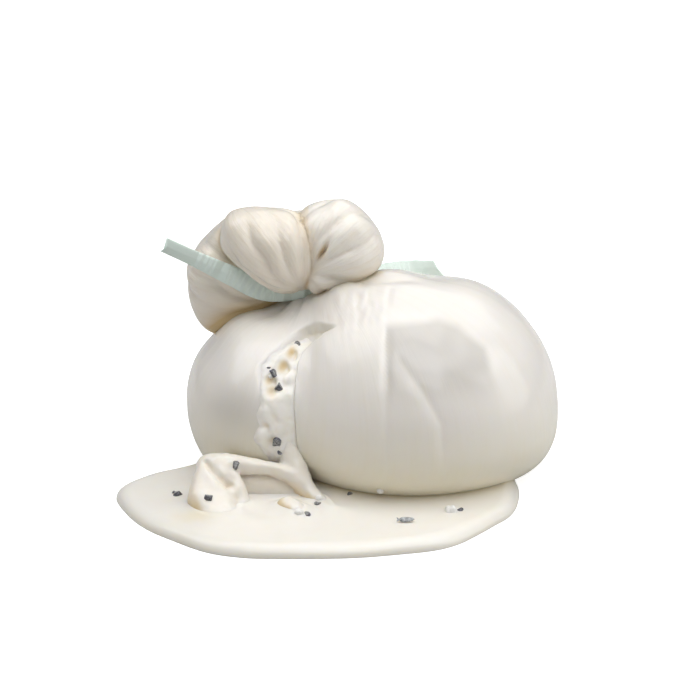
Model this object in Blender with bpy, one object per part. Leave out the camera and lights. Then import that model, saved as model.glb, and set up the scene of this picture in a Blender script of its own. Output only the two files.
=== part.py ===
"""Burrata: a pouch of stretched curd, gathered and tied at the neck, with the gathered end folded into a topknot.

The pouch is torn open at the front. Its filling of cream and curd shreds shows in the tear and hangs out of it,
and the runny part of the cream has spread into a pool round the front. A flat strip is wound round the neck.

Metres, +Z up, front towards -Y. The origin is the middle of the flat patch that the pouch rests on.
"""

import math

import bmesh
import bpy
import numpy as np
from mathutils import Vector

MM = 0.001

# Driving dimensions
GAP = 0.3 * MM  # left between pieces that touch
SKIN = 3.5 * MM  # thickness of the pouch's wall
STRIP_WIDTH = 3.8 * MM
STRIP_THICKNESS = 1.2 * MM
NECK_RADIUS = 4.4 * MM
POOL_DEPTH = 2.8 * MM
POOL_EDGE = 2.2 * MM  # radius of the pool's rounded edge

# The inner point that every ray to the pouch's skin starts from, and the middle of the tied neck
HEART = Vector((-8.0, 0.0, 15.0)) * MM
NECK = Vector((-15.0, 6.5, 42.8)) * MM
NECK_AXIS = Vector((0.12, -0.08, 0.99)).normalized()
NECK_ROOT_RADIUS = 16 * MM  # the gathered curd under the neck, which is solid

# Mesh fineness
POUCH_COLUMNS, POUCH_ROWS = 40, 24
FOLD_COLUMNS, FOLD_ROWS = 24, 10
NECK_SIDES = 16
CURD_COLUMNS, CURD_ROWS = 40, 18
RAY_STEPS = 26
RAY_REACH = 90 * MM


class Lobe:
    """An egg-shaped volume, widest at its centre's level, that rises and drops by different amounts."""

    def __init__(self, centre, half_width, half_depth, rise, drop=None, boxiness=2.0):
        self.centre = np.array(centre) * MM
        self.half_width = half_width * MM
        self.half_depth = half_depth * MM
        self.rise = rise * MM
        self.drop = (rise if drop is None else drop) * MM
        self.boxiness = boxiness

    def outside(self, points):
        """How far each point lies outside the lobe along the ray from its centre, negative inside."""
        offset = points - self.centre
        radii = np.empty_like(offset)
        radii[:, 0] = self.half_width
        radii[:, 1] = self.half_depth
        radii[:, 2] = np.where(offset[:, 2] > 0, self.rise, self.drop)
        share = (np.abs(offset / radii) ** self.boxiness).sum(axis=1) ** (1 / self.boxiness)
        share = np.maximum(share, 1e-6)
        return np.linalg.norm(offset, axis=1) * (1 - 1 / share)


# The slumped pouch is two lobes, parted by the tear. A third lobe lifts the skin towards the neck.
RIGHT_LOBE = Lobe((9.5, 0, 14), 37, 41, 34.5, drop=19, boxiness=2.1)
LEFT_LOBE = Lobe((-26, 0, 15.5), 21, 31, 24.5, drop=19.5, boxiness=2.1)
NECK_LOBE = Lobe((-13, 5, 28), 16, 17, 12, boxiness=2.0)
LOBE_BLEND_FRONT, LOBE_BLEND_BACK = 4 * MM, 26 * MM  # the valley between the lobes is deep only in front
FRONT_Y, BACK_Y = -12 * MM, 22 * MM
NECK_BLEND = 8 * MM

# The topknot's folds, which fan out from the neck: each one's lobe, and how many pleats run down it
KNOT_FOLDS = {
    "fold_left": (Lobe((-33, 11, 46), 13.5, 11.5, 15, drop=13.5, boxiness=2.2), 5),
    "fold_middle": (Lobe((-26, 1.5, 54.5), 11.5, 11, 10.5, drop=10.5, boxiness=2.2), 6),
    "fold_right": (Lobe((-8, 5, 54.5), 11, 11.5, 12.5, drop=11.5, boxiness=2.2), 4),
    "fold_back": (Lobe((-17, 15, 50), 13, 9.5, 11, drop=9, boxiness=2.2), 5),
}
PLEAT_DEPTH = 0.07  # share of a fold's radius

# The tear, from its upper end down, as seen from the front: (x, z, half width)
TEAR_LINE = (
    (-10.5, 40.2, 0.8),
    (-14.5, 37.6, 1.4),
    (-18.6, 34.4, 2.0),
    (-21.2, 31.6, 2.6),
    (-22.8, 27.8, 3.2),
    (-23.0, 22.5, 3.6),
    (-22.3, 17.0, 4.0),
    (-21.2, 12.0, 4.2),
    (-20.4, 8.6, 4.2),
)
# Where the tear's cut and the plug in it start and end, as shares of the ray from the heart to the skin
TEAR_INNER_REACH = 0.62
TEAR_OUTER_REACH = 1.25
PLUG_OUTER_REACH = 1.04

# Curd that hangs out of the tear onto the pool: ((x, y, z), radius) along each strand
CURD_STRANDS = {
    "fall": (((-22, -27, 14), 3.6), ((-22, -31, 9), 5.4), ((-23, -34, 3), 6.8), ((-30, -37, 0), 7.2)),
    "crest": (
        ((-39, -34, 7.6), 4.2),
        ((-33, -36, 9.2), 4.6),
        ((-27, -37, 8.4), 4.6),
        ((-20, -37.5, 5.8), 4.2),
        ((-14, -37, 3.0), 3.4),
        ((-9, -37, 1.4), 2.4),
    ),
    "left_leg": (((-37, -35, 8.0), 4.6), ((-40, -40, 5.2), 4.4), ((-39, -44.5, 2.2), 3.8), ((-36, -47, 0.8), 2.8)),
    "middle_leg": (((-32, -36, 7.6), 4.2), ((-31, -41, 4.8), 4.0), ((-27, -45, 1.5), 3.2)),
}
STRAND_BLEND = 1.5 * MM
CURD_MIDDLE = Vector((-29, -37, 3)) * MM  # every ray to the fallen curd's surface starts here

# The pool's outline, anticlockwise from its left tip: (x, y)
POOL_OUTLINE = (
    (-61.5, -25),
    (-59.5, -37),
    (-52, -48.5),
    (-41, -57.5),
    (-26, -63.5),
    (-10, -65),
    (8, -62.5),
    (22, -56),
    (31, -45.5),
    (35.5, -32),
    (36.5, -19),
    (32, -7),
    (18, 0),
    (-10, 4),
    (-34, 1),
    (-45, -5),
    (-55, -12),
)
POOL_STEPS = 4  # outline points between two of the named ones
POOL_EDGE_STEPS = 3
CUT_DEPTH = 1 * MM  # how far the pool's cutters reach below it

# The strip's two tails, from the neck outwards: ((x, y, z), direction of the strip's width)
LEFT_TAIL = (
    ((-27.0, -1.5, 46.6), (0.30, -0.25, 0.92)),
    ((-35.0, -2.2, 50.2), (0.36, -0.20, 0.91)),
    ((-43.5, -2.4, 54.0), (0.38, -0.15, 0.91)),
    ((-51.2, -2.0, 57.4), (0.38, -0.15, 0.91)),
)
RIGHT_TAIL = (
    ((-7.6, 9.2, 40.1), (0.10, 0.00, 0.99)),
    ((-3.0, 17.5, 42.2), (-0.25, 0.40, 0.88)),
    ((3.2, 24.0, 42.8), (-0.25, 0.72, 0.64)),
    ((10.0, 26.6, 42.4), (-0.12, 0.78, 0.62)),
    ((16.8, 27.5, 41.9), (0.05, 0.75, 0.66)),
)
WIND_FROM, WIND_TO = math.radians(-78), math.radians(332)  # round the neck, from +X towards +Y
WIND_TURNS = (WIND_TO - WIND_FROM) / (2 * math.pi)
WIND_DROP = (STRIP_WIDTH + 3 * GAP) * WIND_TURNS
WIND_STEPS = 22
TAIL_STEPS = 4

# The collar is the room that the turns take round the neck
COLLAR_RADIUS = NECK_RADIUS + STRIP_THICKNESS + 2 * GAP
COLLAR_HALF_HEIGHT = (WIND_DROP + STRIP_WIDTH) / 2 + GAP

COLOURS = {
    "curd": ((0.86, 0.83, 0.76, 1), 0.32),
    "cream": ((0.90, 0.87, 0.80, 1), 0.25),
    "strip": ((0.62, 0.74, 0.65, 1), 0.45),
}


def clear_scene():
    for obj in list(bpy.data.objects):
        bpy.data.objects.remove(obj)


def material(name):
    colour, roughness = COLOURS[name]
    made = bpy.data.materials.get(name) or bpy.data.materials.new(name)
    made.use_nodes = True
    shader = made.node_tree.nodes["Principled BSDF"]
    shader.inputs["Base Color"].default_value = colour
    shader.inputs["Roughness"].default_value = roughness
    shader.inputs["Metallic"].default_value = 0.0
    made.diffuse_color = colour
    return made


def add_object(name, bm, colour):
    mesh = bpy.data.meshes.new(name)
    bmesh.ops.recalc_face_normals(bm, faces=bm.faces)
    bm.to_mesh(mesh)
    bm.free()
    mesh.materials.append(material(colour))
    mesh.shade_smooth()
    mesh.set_sharp_from_angle(angle=math.radians(50))
    obj = bpy.data.objects.new(name, mesh)
    bpy.context.scene.collection.objects.link(obj)
    return obj


def add_tool(name, bm):
    """A helper of the Booleans, which is no piece of the burrata."""
    obj = add_object(name, bm, "curd")
    obj.hide_render = True
    obj.display_type = "WIRE"
    return obj


def boolean(obj, tool, operation):
    modifier = obj.modifiers.new(f"{operation.lower()} {tool.name}", "BOOLEAN")
    modifier.operation = operation
    modifier.solver = "EXACT"
    modifier.object = tool


def blended(first, second, width):
    """The smaller of two distances, rounded off where they are within `width` of each other."""
    share = np.clip(0.5 + 0.5 * (second - first) / width, 0, 1)
    return second * (1 - share) + first * share - width * share * (1 - share)


def outside_pouch(points):
    """Roughly how far each point lies outside the pouch's skin, negative inside."""
    width = np.interp(points[:, 1], (FRONT_Y, BACK_Y), (LOBE_BLEND_FRONT, LOBE_BLEND_BACK))
    lobes = blended(RIGHT_LOBE.outside(points), LEFT_LOBE.outside(points), width)
    return blended(lobes, NECK_LOBE.outside(points), NECK_BLEND)


def cast(origin, directions, outside, level=0.0):
    """Where rays from `origin` cross the surface that lies `level` outside a shape."""
    start = np.array(origin)
    near = np.zeros(len(directions))
    far = np.full(len(directions), RAY_REACH)
    for _ in range(RAY_STEPS):
        middle = (near + far) / 2
        inside = outside(start + directions * middle[:, None]) < level
        near = np.where(inside, middle, near)
        far = np.where(inside, far, middle)
    return start + directions * far[:, None]


def ball(columns, rows, axis):
    """A sphere of radius 1 whose poles lie on `axis`."""
    bm = bmesh.new()
    bmesh.ops.create_uvsphere(bm, u_segments=columns, v_segments=rows, radius=1)
    turn = Vector((0, 0, 1)).rotation_difference(axis)
    bmesh.ops.rotate(bm, verts=bm.verts, cent=(0, 0, 0), matrix=turn.to_matrix())
    return bm


def wrap(bm, origin, outside, level=0.0):
    """Moves a sphere's points out along their rays onto a shape."""
    directions = np.array([v.co.normalized() for v in bm.verts])
    for vert, place in zip(bm.verts, cast(origin, directions, outside, level)):
        vert.co = place
    return bm


def flat_bottom(bm, height):
    """Cuts a closed mesh off level at `height`, and closes it with one flat face."""
    cut = bmesh.ops.bisect_plane(
        bm,
        geom=bm.verts[:] + bm.edges[:] + bm.faces[:],
        plane_co=(0, 0, height),
        plane_no=(0, 0, 1),
        clear_inner=True,
    )
    rim = [e for e in cut["geom_cut"] if isinstance(e, bmesh.types.BMEdge)]
    bmesh.ops.holes_fill(bm, edges=rim)
    return bm


def pouch_form(level, bottom):
    """The pouch's closed form without its topknot, `level` larger all round and flat below."""
    bm = wrap(ball(POUCH_COLUMNS, POUCH_ROWS, NECK - HEART), HEART, outside_pouch, level)
    return flat_bottom(bm, bottom)


def loft(rings):
    """One closed mesh through a row of equal rings of points, with a flat cap at each end."""
    bm = bmesh.new()
    loops = [[bm.verts.new(p) for p in ring] for ring in rings]
    for first, second in zip(loops, loops[1:]):
        for k in range(len(first)):
            after = (k + 1) % len(first)
            bm.faces.new((first[k], first[after], second[after], second[k]))
    bm.faces.new(loops[0][::-1])
    bm.faces.new(loops[-1])
    return bm


def smooth_row(points, steps, closed=False):
    """A curve through rows of numbers, by Catmull and Rom's formula."""
    rows = [np.array(p, float) for p in points]
    if closed:
        rows = rows[-1:] + rows + rows[:2]
    else:
        rows = [2 * rows[0] - rows[1]] + rows + [2 * rows[-1] - rows[-2]]
    made = []
    for a, b, c, d in zip(rows, rows[1:], rows[2:], rows[3:]):
        for t in np.arange(steps) / steps:
            made.append(
                0.5 * (2 * b + (c - a) * t + (2 * a - 5 * b + 4 * c - d) * t**2 + (3 * b - a - 3 * c + d) * t**3)
            )
    return made if closed else made + [rows[-2]]


def fold_form(fold, pleats):
    """A fold of the topknot, with its pleats running from the neck side over its top."""
    bm = ball(FOLD_COLUMNS, FOLD_ROWS, Vector((0, 0, 1)))
    for vert in bm.verts:
        vert.co.xy *= 1 + PLEAT_DEPTH * math.cos(pleats * math.atan2(vert.co.y, vert.co.x))
    swell = [vert.co.length for vert in bm.verts]
    turn = Vector((0, 0, 1)).rotation_difference(Vector(fold.centre) - NECK)
    bmesh.ops.rotate(bm, verts=bm.verts, cent=(0, 0, 0), matrix=turn.to_matrix())
    wrap(bm, fold.centre, fold.outside)
    for vert, share in zip(bm.verts, swell):
        vert.co = Vector(fold.centre).lerp(vert.co, share)
    return bm


def front_of_pouch(x, z):
    """The point of the skin that is seen straight from the front at this x and z."""
    points = cast((x, 0, z), np.array([[0.0, -1.0, 0.0]]), outside_pouch)
    return Vector(points[0])


def tear_form(shrink, inner_reach, outer_reach):
    """A blade along the tear, square to the skin, whose edges stand `shrink` inside the tear's."""
    line = [(x * MM, z * MM, half * MM) for x, z, half in TEAR_LINE]
    rings = []
    for k, (x, z, half) in enumerate(line):
        before, after = line[max(k - 1, 0)], line[min(k + 1, len(line) - 1)]
        along = front_of_pouch(*after[:2]) - front_of_pouch(*before[:2])
        outwards = front_of_pouch(x, z) - HEART
        sideways = along.cross(outwards).normalized() * (half - shrink)
        inner, outer = HEART + outwards * inner_reach, HEART + outwards * outer_reach
        rings.append([inner - sideways, inner + sideways, outer + sideways, outer - sideways])
    return loft(rings)


def outside_strands(points):
    """How far each point lies outside the curd strands, negative inside, with the strands run into each other."""
    nearest = np.full(len(points), RAY_REACH)
    for strand in CURD_STRANDS.values():
        for (start, start_radius), (end, end_radius) in zip(strand, strand[1:]):
            first = np.array(start) * MM
            along = np.array(end) * MM - first
            share = np.clip((points - first) @ along / (along @ along), 0, 1)
            radius = (start_radius + (end_radius - start_radius) * share) * MM
            distance = np.linalg.norm(points - first - share[:, None] * along, axis=1) - radius
            nearest = blended(nearest, distance, STRAND_BLEND)
    return nearest


def curd_form(level, bottom):
    """The curd that has come out of the tear, `level` larger all round and flat below."""
    bm = wrap(ball(CURD_COLUMNS, CURD_ROWS, Vector((0, 0, 1))), CURD_MIDDLE, outside_strands, level)
    return flat_bottom(bm, bottom)


def strip_path():
    """(place, direction of the width) along the strip: the left tail, the turns round the neck, the right tail."""
    side = (Vector((1, 0, 0)) - NECK_AXIS * NECK_AXIS.x).normalized()
    back = NECK_AXIS.cross(side)
    radius = NECK_RADIUS + GAP + STRIP_THICKNESS / 2
    wound = []
    for k in range(WIND_STEPS + 1):
        share = k / WIND_STEPS
        angle = WIND_FROM + (WIND_TO - WIND_FROM) * share
        out = side * math.cos(angle) + back * math.sin(angle)
        place = NECK + out * radius + NECK_AXIS * WIND_DROP * (0.5 - share)
        wound.append((*place, *NECK_AXIS))
    left = [(*(Vector(place) * MM), *across) for place, across in reversed(LEFT_TAIL)]
    right = [(*(Vector(place) * MM), *across) for place, across in RIGHT_TAIL]
    start = smooth_row(left + wound[:2], TAIL_STEPS)[: len(left) * TAIL_STEPS]
    end = smooth_row(wound[-2:] + right, TAIL_STEPS)[TAIL_STEPS + 1 :]
    return [(Vector(row[:3]), Vector(row[3:])) for row in (*start, *wound, *end)]


def strip_form(path, grow=0.0):
    """A length of the flat strip, with a shallow fold down each face, `grow` larger all round."""
    half_width, half_thick = STRIP_WIDTH / 2 + grow, STRIP_THICKNESS / 2 + grow
    section = (
        (-1.0, -0.45),
        (-0.5, -1.0),
        (0.0, -0.55),
        (0.5, -1.0),
        (1.0, -0.45),
        (1.0, 0.45),
        (0.5, 1.0),
        (0.0, 0.7),
        (-0.5, 1.0),
        (-1.0, 0.45),
    )
    rings = []
    for k, (place, across) in enumerate(path):
        along = (path[min(k + 1, len(path) - 1)][0] - path[max(k - 1, 0)][0]).normalized()
        end = -1 if k == 0 else 1 if k == len(path) - 1 else 0
        face = along.cross(across).normalized()
        width = face.cross(along).normalized()
        centre = place + along * grow * end
        rings.append([centre + width * half_width * w + face * half_thick * t for w, t in section])
    return loft(rings)


def neck_rod(radius, bottom, top):
    """A round rod along the neck's axis, from `bottom` to `top` as measured from the middle of the neck."""
    turn = Vector((0, 0, 1)).rotation_difference(NECK_AXIS)
    angles = [2 * math.pi * side / NECK_SIDES for side in range(NECK_SIDES)]
    rings = []
    for height in (bottom, top):
        rings.append([NECK + turn @ Vector((math.cos(a) * radius, math.sin(a) * radius, height)) for a in angles])
    return loft(rings)


def hollow_out(obj, grow):
    """Keeps `obj`, a form inside the skin, clear of the gathered curd under the neck."""
    root = neck_rod(NECK_ROOT_RADIUS + grow, -COLLAR_HALF_HEIGHT - SKIN - grow, 2 * COLLAR_HALF_HEIGHT)
    boolean(obj, add_tool(f"{obj.name}_neck_root", root), "DIFFERENCE")
    return obj


def make_pouch():
    pouch = add_object("pouch", pouch_form(0.0, 0.0), "curd")
    for name, (fold, pleats) in KNOT_FOLDS.items():
        boolean(pouch, add_tool(name, fold_form(fold, pleats)), "UNION")
    collar = neck_rod(COLLAR_RADIUS, -COLLAR_HALF_HEIGHT, COLLAR_HALF_HEIGHT)
    boolean(pouch, add_tool("collar", collar), "DIFFERENCE")
    neck = neck_rod(NECK_RADIUS, -2 * COLLAR_HALF_HEIGHT, 2 * COLLAR_HALF_HEIGHT)
    boolean(pouch, add_tool("neck", neck), "UNION")
    cavity = hollow_out(add_tool("cavity", pouch_form(-SKIN, SKIN)), 0.0)
    boolean(pouch, cavity, "DIFFERENCE")
    boolean(pouch, add_tool("tear", tear_form(0.0, TEAR_INNER_REACH, TEAR_OUTER_REACH)), "DIFFERENCE")
    path = strip_path()
    left_end = len(LEFT_TAIL) * TAIL_STEPS + 1
    right_start = -len(RIGHT_TAIL) * TAIL_STEPS - 1
    boolean(pouch, add_tool("left_groove", strip_form(path[:left_end], GAP)), "DIFFERENCE")
    boolean(pouch, add_tool("right_groove", strip_form(path[right_start:], GAP)), "DIFFERENCE")


def make_tie():
    add_object("tie", strip_form(strip_path()), "strip")


def make_filling():
    """The core inside the skin, the plug that fills the tear, and the curd that has come out of it."""
    fallen = add_tool("fallen_curd", curd_form(0.0, 0.0))
    boolean(fallen, add_tool("around_pouch", pouch_form(GAP, -CUT_DEPTH)), "DIFFERENCE")
    filling = hollow_out(add_object("filling", pouch_form(-SKIN - GAP, SKIN + GAP), "curd"), GAP)
    boolean(filling, add_tool("plug", tear_form(GAP, TEAR_INNER_REACH, PLUG_OUTER_REACH)), "UNION")
    boolean(filling, fallen, "UNION")


def make_pool():
    """The pool: its outline raised to the pool's depth, with a rounded upper edge, cut clear of what stands in it."""
    bm = bmesh.new()
    outline = [bm.verts.new((x * MM, y * MM, 0)) for x, y in smooth_row(POOL_OUTLINE, POOL_STEPS, closed=True)]
    floor = bm.faces.new(outline)
    raised = bmesh.ops.extrude_face_region(bm, geom=[floor])["geom"]
    top = [v for v in raised if isinstance(v, bmesh.types.BMVert)]
    bmesh.ops.translate(bm, verts=top, vec=(0, 0, POOL_DEPTH))
    rim = [e for e in raised if isinstance(e, bmesh.types.BMEdge)]
    bmesh.ops.bevel(
        bm, geom=rim, offset=POOL_EDGE, segments=POOL_EDGE_STEPS, affect="EDGES", profile=0.5, material=-1
    )
    pool = add_object("cream_pool", bm, "cream")
    boolean(pool, bpy.data.objects["around_pouch"], "DIFFERENCE")
    boolean(pool, add_tool("around_curd", curd_form(2 * GAP, -CUT_DEPTH)), "DIFFERENCE")


def main():
    clear_scene()
    make_pouch()
    make_tie()
    make_filling()
    make_pool()


main()
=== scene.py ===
"""Looks of the burrata: the stretched skin, its pleated topknot, the curd, the cream and the strip.

Metres, +Z up, front towards -Y, in the frame of the CAD model. Sizes before * MM, inside mm() and in the
tables of the burrata's shapes are in millimetres.
"""

import math

import bmesh
import bpy
import numpy as np
from mathutils import Matrix, Vector, noise
from mathutils.bvhtree import BVHTree


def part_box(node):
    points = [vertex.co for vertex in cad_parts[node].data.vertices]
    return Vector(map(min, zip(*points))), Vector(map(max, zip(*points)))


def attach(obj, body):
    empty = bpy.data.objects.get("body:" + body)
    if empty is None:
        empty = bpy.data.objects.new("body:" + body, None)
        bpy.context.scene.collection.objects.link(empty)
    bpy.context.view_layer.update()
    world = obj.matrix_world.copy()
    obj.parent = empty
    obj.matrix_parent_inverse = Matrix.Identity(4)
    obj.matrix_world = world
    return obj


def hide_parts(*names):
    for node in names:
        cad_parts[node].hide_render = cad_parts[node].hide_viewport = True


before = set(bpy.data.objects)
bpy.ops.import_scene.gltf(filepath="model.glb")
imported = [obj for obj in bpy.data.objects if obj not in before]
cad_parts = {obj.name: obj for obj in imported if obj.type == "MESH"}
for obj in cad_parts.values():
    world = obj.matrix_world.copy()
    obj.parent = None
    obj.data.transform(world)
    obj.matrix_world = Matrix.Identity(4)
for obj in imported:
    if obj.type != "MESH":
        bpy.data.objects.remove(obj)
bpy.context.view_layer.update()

MM = 0.001
POOL_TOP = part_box("cream_pool")[1].z


def mm(*sizes):
    """A row of sizes given in millimetres."""
    return np.array(sizes) * MM


# The camera, which looks at the burrata from in front and a little above
VIEW_HEIGHT = math.radians(18)
VIEW_DISTANCE = 0.62
VIEW_AIM = Vector((-5.75, 0, 29.2)) * MM
LENS, SENSOR = 127.5, 36.0

# The pouch: the inner point that its rays start from, and the tied neck
HEART = mm(-8.0, 0.0, 15.0)
NECK = mm(-15.0, 6.5, 42.8)
NECK_AXIS = Vector((0.12, -0.08, 0.99)).normalized()
NECK_RADIUS = 4.4 * MM
RAY_REACH = 90 * MM
RAY_STEPS = 24


class Lobe:
    """An egg-shaped volume, widest at its centre's level, that rises and drops by different amounts."""

    def __init__(self, centre, half_width, half_depth, rise, drop=None, boxiness=2.0):
        self.centre = mm(*centre)
        self.half_width = half_width * MM
        self.half_depth = half_depth * MM
        self.rise = rise * MM
        self.drop = (rise if drop is None else drop) * MM
        self.boxiness = boxiness

    def outside(self, points):
        """How far each point lies outside the lobe along the ray from its centre, negative inside."""
        offset = points - self.centre
        radii = np.empty_like(offset)
        radii[:, 0] = self.half_width
        radii[:, 1] = self.half_depth
        radii[:, 2] = np.where(offset[:, 2] > 0, self.rise, self.drop)
        share = (np.abs(offset / radii) ** self.boxiness).sum(axis=1) ** (1 / self.boxiness)
        share = np.maximum(share, 1e-6)
        return np.linalg.norm(offset, axis=1) * (1 - 1 / share)


RIGHT_LOBE = Lobe((9.5, 0, 14), 37, 41, 34.5, drop=19, boxiness=2.1)
LEFT_LOBE = Lobe((-26, 0, 15.5), 21, 31, 24.5, drop=19.5, boxiness=2.1)
NECK_LOBE = Lobe((-13, 5, 28), 16, 17, 12, boxiness=2.0)
LOBE_BLEND_FRONT, LOBE_BLEND_BACK = 4 * MM, 26 * MM
FRONT_Y, BACK_Y = -12 * MM, 22 * MM
NECK_BLEND = 8 * MM

# Fineness of the pouch's skin: its columns are crowded together where the tear is
SKIN_COLUMNS, SKIN_ROWS, SKIN_FINER = 99, 59, 4
CROWDING = 0.55

# The tear's two edges as seen from the front, from the top down: (z, x)
TEAR_RIGHT_EDGE = (
    (41.2, -8.6), (39.2, -12.0), (37.2, -14.4), (34.7, -17.2), (33.0, -18.3), (28.8, -19.0), (24.4, -19.2),
    (19.6, -18.8), (16.2, -18.6), (11.2, -17.6), (6.6, -16.4), (2.0, -15.0),
)
TEAR_LEFT_EDGE = (
    (41.2, -8.7), (40.2, -13.0), (38.6, -17.0), (36.3, -21.6), (34.4, -24.6), (32.4, -27.2), (29.0, -27.8),
    (24.0, -28.6), (18.0, -29.4), (14.0, -28.0), (10.0, -26.0), (2.0, -26.0),
)
TEAR_MIDDLE = mm(-23.0, -27.0, 24.0)
TEAR_DEPTH = 2.2 * MM
# How far inside its left edge the skin starts and ends its way down into the tear, at three heights
TEAR_LEVELS, TEAR_SLOPE_START, TEAR_SLOPE_END = mm(27, 33, 38), mm(0.5, -2.0, -0.8), mm(4.5, 3.2, 1.6)
LIP_HEIGHT, LIP_WIDTH = 0.35 * MM, 3.0 * MM

# Creases down the front of the large lobe, as seen from the front: ((x, z) ..., width, depth)
CREASES = (
    (((2.9, 43.5), (2.8, 36.0), (2.7, 28.0), (2.7, 19.0), (2.8, 9.0)), 0.9, 0.34),
    (((4.4, 37.5), (7.5, 34.6), (11.9, 29.4), (15.6, 23.0), (16.3, 9.0)), 1.3, 0.32),
)
# Low steps in the skin beside those creases: ((x, z) ..., run to the right, height)
STEPS = (
    (((2.9, 46.0), (2.8, 36.0), (2.7, 28.0), (2.7, 19.0), (2.8, 6.0)), 9.0, -0.55),
    (((4.4, 38.5), (7.5, 34.6), (11.9, 29.4), (15.6, 23.0), (16.3, 6.0)), 12.0, -0.6),
)


def smooth_step(value, start, end):
    share = np.clip((value - start) / (end - start), 0, 1)
    return share * share * (3 - 2 * share)


def blended(first, second, width):
    """The smaller of two distances, rounded off where they are within `width` of each other."""
    share = np.clip(0.5 + 0.5 * (second - first) / width, 0, 1)
    return second * (1 - share) + first * share - width * share * (1 - share)


def outside_pouch(points):
    """Roughly how far each point lies outside the pouch's skin, negative inside."""
    width = np.interp(points[:, 1], (FRONT_Y, BACK_Y), (LOBE_BLEND_FRONT, LOBE_BLEND_BACK))
    lobes = blended(RIGHT_LOBE.outside(points), LEFT_LOBE.outside(points), width)
    return blended(lobes, NECK_LOBE.outside(points), NECK_BLEND)


def cast(origins, directions, outside):
    """Where rays that start inside a shape cross its surface."""
    near = np.zeros(len(directions))
    far = np.full(len(directions), RAY_REACH)
    for _ in range(RAY_STEPS):
        middle = (near + far) / 2
        inside = outside(origins + directions * middle[:, None]) < 0
        near = np.where(inside, middle, near)
        far = np.where(inside, far, middle)
    return origins + directions * far[:, None]


def ripple(points, grain, seed):
    """Smooth noise, from about -1 to 1, whose bumps are about `grain` across."""
    shift = Vector((seed, seed * 1.7, -seed))
    return np.array([noise.noise(Vector(p) / grain + shift) for p in points])


def uneven(points, waves):
    """Several ripples together: (grain, height, seed) of each."""
    return sum(height * MM * ripple(points, grain * MM, seed) for grain, height, seed in waves)


def hump(value, width):
    """1 at 0, falling smoothly to nothing a little more than `width` away."""
    return np.exp(-((value / width) ** 2))


def bump_at(points, centre, size):
    """1 at `centre`, falling smoothly to nothing a little more than `size` away."""
    return np.exp(-(((points - centre) / size) ** 2).sum(axis=1))


def fading(distance, reach):
    """1 where a distance is 0 or less, and about a third of that `reach` further out."""
    return np.exp(-np.maximum(distance, 0) / reach)


def curve_at(a, b, c, d, t):
    """A place between b and c on the smooth curve through four points, by Catmull and Rom's formula."""
    return 0.5 * (2 * b + (c - a) * t + (2 * a - 5 * b + 4 * c - d) * t**2 + (3 * b - a - 3 * c + d) * t**3)


def unit(rows):
    return rows / np.maximum(np.linalg.norm(rows, axis=1), 1e-9)[:, None]


def places(bm):
    return np.array([v.co for v in bm.verts])


def move_to(bm, points):
    for vert, place in zip(bm.verts, points):
        vert.co = place


def normals_of(bm):
    return np.array([v.normal for v in bm.verts])


def turn_to(axis):
    """The turn that brings +Z to an axis."""
    return Vector((0, 0, 1)).rotation_difference(Vector(axis)).to_matrix()


def stand_on(bm, spot, up):
    """Moves a form from the origin to `spot`, with its +Z turned to `up`."""
    matrix = Matrix.Translation(Vector(spot)) @ turn_to(up).to_4x4()
    bmesh.ops.transform(bm, verts=bm.verts, matrix=matrix)


def cut_off(bm, place, way):
    """Cuts off what lies beyond a plane, closes the cut and hands back its faces."""
    geometry = bm.verts[:] + bm.edges[:] + bm.faces[:]
    cut = bmesh.ops.bisect_plane(bm, geom=geometry, plane_co=place, plane_no=way, clear_outer=True)
    rim = [e for e in cut["geom_cut"] if isinstance(e, bmesh.types.BMEdge)]
    return bmesh.ops.holes_fill(bm, edges=rim)["faces"]


def flat_bottom(bm):
    """Cuts a form off level with the ground that it lies on."""
    cut_off(bm, (0, 0, 0), (0, 0, -1))


def ball(columns, rows, finer, axis):
    """A sphere of radius 1 with its poles on `axis` and each column and row split into `finer` ones."""
    bm = bmesh.new()
    bmesh.ops.create_uvsphere(bm, u_segments=columns, v_segments=rows, radius=1)
    if finer > 1:
        bmesh.ops.subdivide_edges(bm, edges=bm.edges[:], cuts=finer - 1, use_grid_fill=True)
    bmesh.ops.rotate(bm, verts=bm.verts, cent=(0, 0, 0), matrix=turn_to(axis))
    move_to(bm, unit(places(bm)))
    return bm


def around(points, axis, origin):
    """The angle of each point round an axis through `origin`, as its cosine and sine."""
    return unit(((points - origin) @ np.array(turn_to(axis)))[:, :2])


def from_line(points, line):
    """How far each point lies from a line seen from the front, and its share of the way along it.

    The distance is more than 0 above a line that runs to the right, and to the right of one that runs down.
    """
    flat = points[:, [0, 2]]
    corners = np.array(line) * MM
    best = np.full(len(points), np.inf)
    signed = np.zeros(len(points))
    share = np.zeros(len(points))
    for k, (start, end) in enumerate(zip(corners, corners[1:])):
        along = end - start
        part = np.clip((flat - start) @ along / (along @ along), 0, 1)
        offset = flat - start - part[:, None] * along
        distance = np.linalg.norm(offset, axis=1)
        side = np.sign(along[0] * offset[:, 1] - along[1] * offset[:, 0])
        closer = distance < best
        best = np.where(closer, distance, best)
        signed = np.where(closer, side * distance, signed)
        share = np.where(closer, (k + part) / (len(corners) - 1), share)
    return signed, share


# --- the stretched skin of the pouch ---

# Fine wrinkles under the neck, in front
CRINKLES, CRINKLE_REACH = mm(-4.0, -13.0, 44.5), 9.5 * MM
CRINKLE_GRAIN, CRINKLE_HEIGHT = mm(1.5, 5.0, 5.0), 0.42 * MM
# Pleats that run out from the neck, and fine fibres further out
PLEATS, PLEAT_REACH, PLEAT_HEIGHT = 4.5, 13 * MM, 1.1 * MM
FIBRES, FIBRE_LENGTH, FIBRE_HEIGHT = 22, 30 * MM, 0.035 * MM
SKIN_WAVES = ((17, 0.35, 2.0), (5, 0.07, 5.0))
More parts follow.
